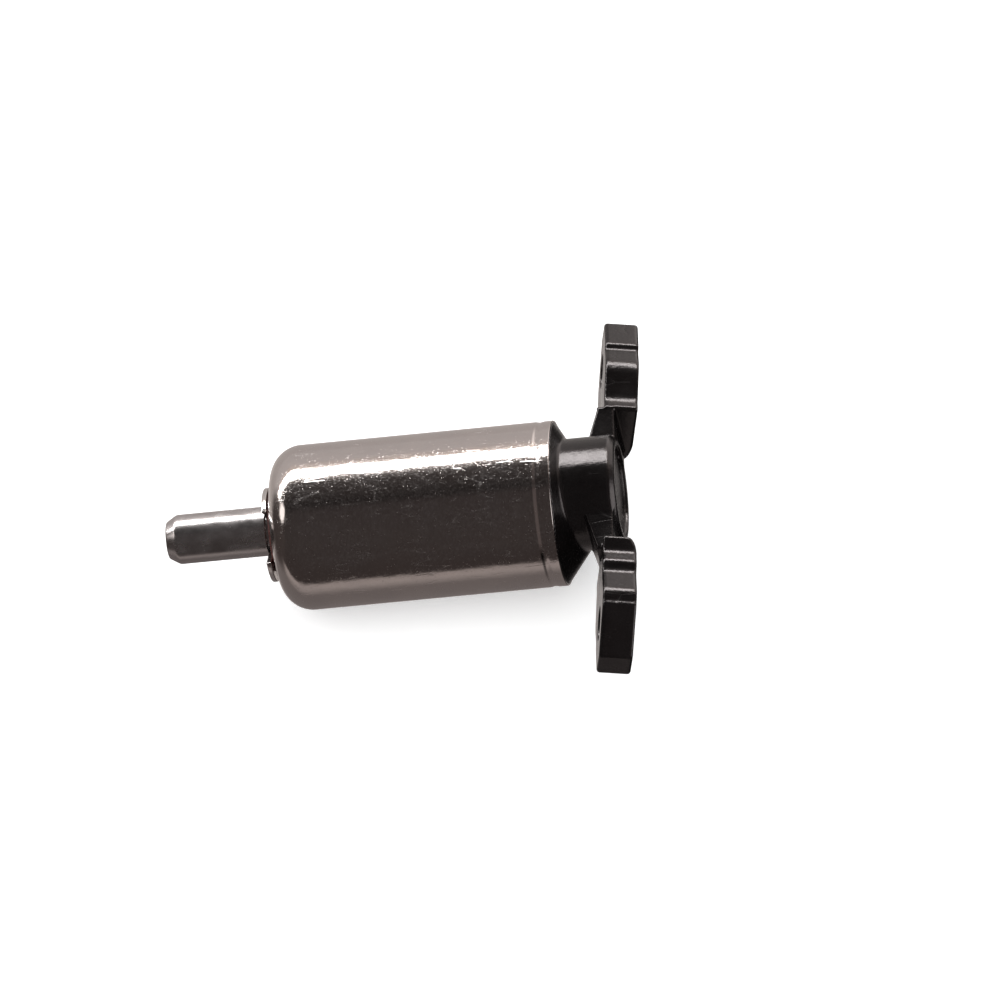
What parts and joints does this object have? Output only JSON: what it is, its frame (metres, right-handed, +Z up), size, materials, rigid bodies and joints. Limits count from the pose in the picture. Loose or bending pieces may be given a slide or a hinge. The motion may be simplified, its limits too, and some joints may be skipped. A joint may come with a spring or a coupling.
{
  "type": "vibration motor",
  "caption": "Cylindrical vibration motor with a plain output shaft, a drawn round can holding an eccentric weight, and a moulded rear mount with scalloped ears.",
  "frame": {"origin": "centre of the can, on the shaft's axis", "axes": "+X along the motor's axis towards the rear mount, so the shaft points to -X; +Y towards one ear; +Z up"},
  "size_m": [0.0292, 0.0252, 0.01],
  "materials": {
    "nickel_plate": "bright nickel plate with faint scuffs",
    "ground_steel": "ground round bar",
    "spring_steel": "bright stamped spring steel",
    "red_fibre": "vulcanised fibre",
    "sintered_bronze": "oil-filled sintered bronze",
    "tungsten": "sintered tungsten alloy",
    "lamination_steel": "stacked laminations",
    "green_insulation": "insulating card",
    "enamelled_wire": "enamelled copper wire",
    "phenolic": "phenolic moulding",
    "copper": "turned copper",
    "ferrite": "ferrite",
    "white_nylon": "moulded nylon",
    "carbon": "pressed carbon",
    "contact_brass": "rolled brass strip",
    "black_gloss": "gloss black moulding"
  },
  "bodies": {
    "housing": {"can": "nickel_plate", "front_bush": "sintered_bronze", "front_washer": "red_fibre", "rear_bush": "sintered_bronze", "magnet_upper": "ferrite", "magnet_lower": "ferrite", "magnet_spring": "spring_steel", "brush_holder": "white_nylon", "brush_left": "carbon", "brush_right": "carbon", "brush_arm_left": "contact_brass", "brush_arm_right": "contact_brass", "terminal_left": "contact_brass", "terminal_right": "contact_brass", "end_mount": "black_gloss"},
    "rotor": {"shaft": "ground_steel", "retaining_clip": "spring_steel", "eccentric_weight": "tungsten", "rotor_core": "lamination_steel", "front_insulator": "green_insulation", "rear_insulator": "green_insulation", "winding_1": "enamelled_wire", "winding_2": "enamelled_wire", "winding_3": "enamelled_wire", "commutator_hub": "phenolic", "commutator_segments": "copper", "rear_washer": "red_fibre"}
  },
  "joints": [
    {"name": "rotor_spin", "type": "hinge", "parent": "housing", "child": "rotor", "pos_m": [0, 0, 0], "axis": [1, 0, 0], "continuous": true}
  ]
}
